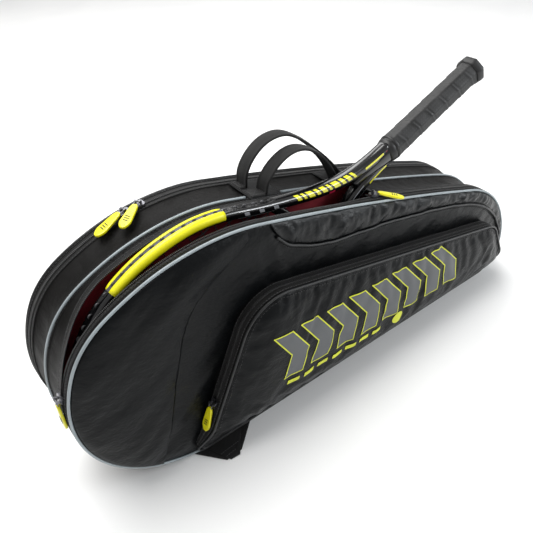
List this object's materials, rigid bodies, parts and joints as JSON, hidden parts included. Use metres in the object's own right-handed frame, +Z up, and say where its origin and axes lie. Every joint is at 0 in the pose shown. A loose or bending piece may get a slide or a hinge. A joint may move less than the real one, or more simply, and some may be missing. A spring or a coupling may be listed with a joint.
{
  "type": "racket tournament bag",
  "caption": "Padded tournament bag for rackets: zipped front and rear compartments, bulging front pocket, webbing handles, back straps and a racket in the open front compartment.",
  "frame": {"origin": "centre of the flat bottom of the bag", "axes": "+Z up, +X along the bag toward the end where the racket handle comes out, front panel and pocket face -Y"},
  "size_m": [0.7446, 0.1593, 0.3735],
  "materials": {
    "coated_fabric": "semi-gloss coated",
    "matt_fabric": "matt woven",
    "gusset_fabric": "matt woven",
    "red_lining": "satin",
    "board": "matt",
    "reflective_piping": "satin",
    "black_piping": "satin",
    "zip_tape": "ribbed",
    "zip_coil": "satin",
    "slider_metal": "satin",
    "yellow_pull": "satin",
    "webbing": "woven",
    "strap_pad": "mesh",
    "buckle_plastic": "satin",
    "racket_paint": "gloss lacquer",
    "bumper_plastic": "gloss",
    "string": "satin",
    "grip_wrap": "satin perforated",
    "grip_rubber": "matt"
  },
  "bodies": {
    "bag": {"back_panel": "matt_fabric", "divider_lining": "red_lining", "front_base_board": "board", "front_gusset": "gusset_fabric", "front_panel": "coated_fabric", "front_piping": "reflective_piping", "front_side_panel": "matt_fabric", "handle_patch_left": "webbing", "handle_patch_right": "webbing", "lower_strap_anchor": "webbing", "lower_strap_pad": "strap_pad", "lower_strap_webbing": "webbing", "main_zip_coil": "zip_coil", "main_zip_end_stops": "zip_coil", "main_zip_front_tape": "zip_tape", "main_zip_rear_tape": "zip_tape", "mid_divider": "gusset_fabric", "middle_piping": "reflective_piping", "pocket_front": "coated_fabric", "pocket_gusset": "matt_fabric", "pocket_piping": "black_piping", "pocket_zip_coil": "zip_coil", "pocket_zip_tapes": "zip_tape", "rear_base_board": "board", "rear_gusset": "gusset_fabric", "rear_piping": "reflective_piping", "rear_zip_coil": "zip_coil", "rear_zip_tapes": "zip_tape", "strap_tail": "matt_fabric", "upper_strap_anchor": "webbing", "upper_strap_pad": "strap_pad", "upper_strap_webbing": "webbing", "upper_yoke": "coated_fabric", "yoke_piping": "black_piping"},
    "racket": {"racket_frame": "racket_paint", "string_bed": "string", "bumper_guards": "bumper_plastic", "racket_grip": "grip_wrap", "grip_collar": "grip_rubber", "butt_cap": "grip_rubber"},
    "main_slider_left": {"main_slider_left": "slider_metal"},
    "main_pull_left": {"main_pull_left": "yellow_pull"},
    "main_slider_right": {"main_slider_right": "slider_metal"},
    "main_pull_right": {"main_pull_right": "yellow_pull"},
    "rear_slider_left": {"rear_slider_left": "slider_metal"},
    "rear_pull_left": {"rear_pull_left": "yellow_pull"},
    "rear_slider_right": {"rear_slider_right": "slider_metal"},
    "rear_pull_right": {"rear_pull_right": "yellow_pull"},
    "pocket_slider": {"pocket_slider": "slider_metal"},
    "pocket_pull": {"pocket_pull": "yellow_pull"},
    "front_handle": {"front_handle": "webbing"},
    "rear_handle": {"rear_handle": "webbing"},
    "upper_buckle": {"upper_strap_buckle": "buckle_plastic"},
    "lower_buckle": {"lower_strap_buckle": "buckle_plastic"}
  },
  "joints": [
    {"name": "racket_lift", "type": "slide", "parent": "bag", "child": "racket", "axis": [0.1736, 0, 0.9848], "range_m": [0, 0.3]},
    {"name": "main_slider_left_run", "type": "hinge", "parent": "bag", "child": "main_slider_left", "pos_m": [-0.2692, -0.0432, 0.1561], "axis": [0, -1, 0], "range_deg": [0, 33]},
    {"name": "main_pull_left_swing", "type": "hinge", "parent": "main_slider_left", "child": "main_pull_left", "pos_m": [-0.42947, -0.0432, 0.19017], "axis": [0, 1, 0], "range_deg": [0, 150]},
    {"name": "main_slider_right_run", "type": "slide", "parent": "bag", "child": "main_slider_right", "axis": [0.9636, 0, -0.2674], "range_m": [0, 0.058]},
    {"name": "main_pull_right_swing", "type": "hinge", "parent": "main_slider_right", "child": "main_pull_right", "pos_m": [-0.01199, -0.0432, 0.25951], "axis": [0.4534, 0.8829, -0.122], "range_deg": [-105, 0]},
    {"name": "rear_slider_left_run", "type": "hinge", "parent": "bag", "child": "rear_slider_left", "pos_m": [-0.24524, 0.0461, 0.05639], "axis": [0, -1, 0], "range_deg": [0, 16]},
    {"name": "rear_pull_left_swing", "type": "hinge", "parent": "rear_slider_left", "child": "rear_pull_left", "pos_m": [-0.29433, 0.0461, 0.30432], "axis": [0.3031, -0.9511, 0.06], "range_deg": [-150, 0]},
    {"name": "rear_slider_right_run", "type": "hinge", "parent": "bag", "child": "rear_slider_right", "pos_m": [-0.24524, 0.0461, 0.05639], "axis": [0, -1, 0], "range_deg": [-17, 0]},
    {"name": "rear_pull_right_swing", "type": "hinge", "parent": "rear_slider_right", "child": "rear_pull_right", "pos_m": [-0.27692, 0.0461, 0.30714], "axis": [0.6108, -0.788, 0.0772], "range_deg": [-150, 0]},
    {"name": "pocket_slider_run", "type": "slide", "parent": "bag", "child": "pocket_slider", "axis": [0.378, 0, 0.9258], "range_m": [0, 0.085]},
    {"name": "pocket_pull_swing", "type": "hinge", "parent": "pocket_slider", "child": "pocket_pull", "pos_m": [-0.2824, -0.0715, 0.0961], "axis": [0, 1, 0], "range_deg": [0, 150]},
    {"name": "front_handle_flop", "type": "hinge", "parent": "bag", "child": "front_handle", "pos_m": [-0.08828, 0.016, 0.27389], "axis": [-0.9705, 0, 0.2409], "range_deg": [0, 18]},
    {"name": "rear_handle_flop", "type": "hinge", "parent": "bag", "child": "rear_handle", "pos_m": [-0.08027, 0.039, 0.27154], "axis": [-0.97, 0, 0.243], "range_deg": [-1.5, 75]},
    {"name": "upper_buckle_slide", "type": "slide", "parent": "bag", "child": "upper_buckle", "axis": [1, 0, 0], "range_m": [-0.03, 0.05]},
    {"name": "lower_buckle_slide", "type": "slide", "parent": "bag", "child": "lower_buckle", "axis": [1, 0, 0], "range_m": [-0.03, 0.05]}
  ]
}
